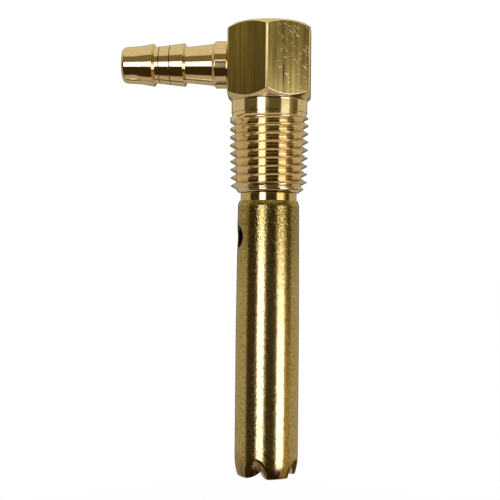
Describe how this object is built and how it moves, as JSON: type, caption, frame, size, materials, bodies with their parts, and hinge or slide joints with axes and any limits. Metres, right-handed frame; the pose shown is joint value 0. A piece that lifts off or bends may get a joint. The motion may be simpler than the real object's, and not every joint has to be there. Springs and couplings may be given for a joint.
{
  "type": "lampwork torch",
  "caption": "Brass screw-in gas burner head with a side hose barb, a male pipe thread and a crimped burner tube with an air hole.",
  "frame": {"origin": "on the burner's axis, in the plane of the small lower end of the male pipe thread", "axes": "+Z along the burner's axis from its mouth towards the hexagon, -X along the hose barb towards its tip, +Y towards the back"},
  "size_m": [0.033, 0.0166, 0.0784],
  "materials": {
    "brass_bar": "drawn hexagon bar with fine lengthwise streaks, thread and neck turned bright",
    "brass_turned": "turned bright, fine rings",
    "brass_nipple": "turned bright",
    "brass_jet": "turned",
    "brass_tube": "polished drawn tube, finely mottled, darker heat tint at the mouth"
  },
  "bodies": {
    "root": {"elbow_body": "brass_bar", "hose_barb": "brass_turned", "jet_nipple": "brass_nipple", "gas_jet": "brass_jet", "burner_tube": "brass_tube"}
  },
  "joints": []
}
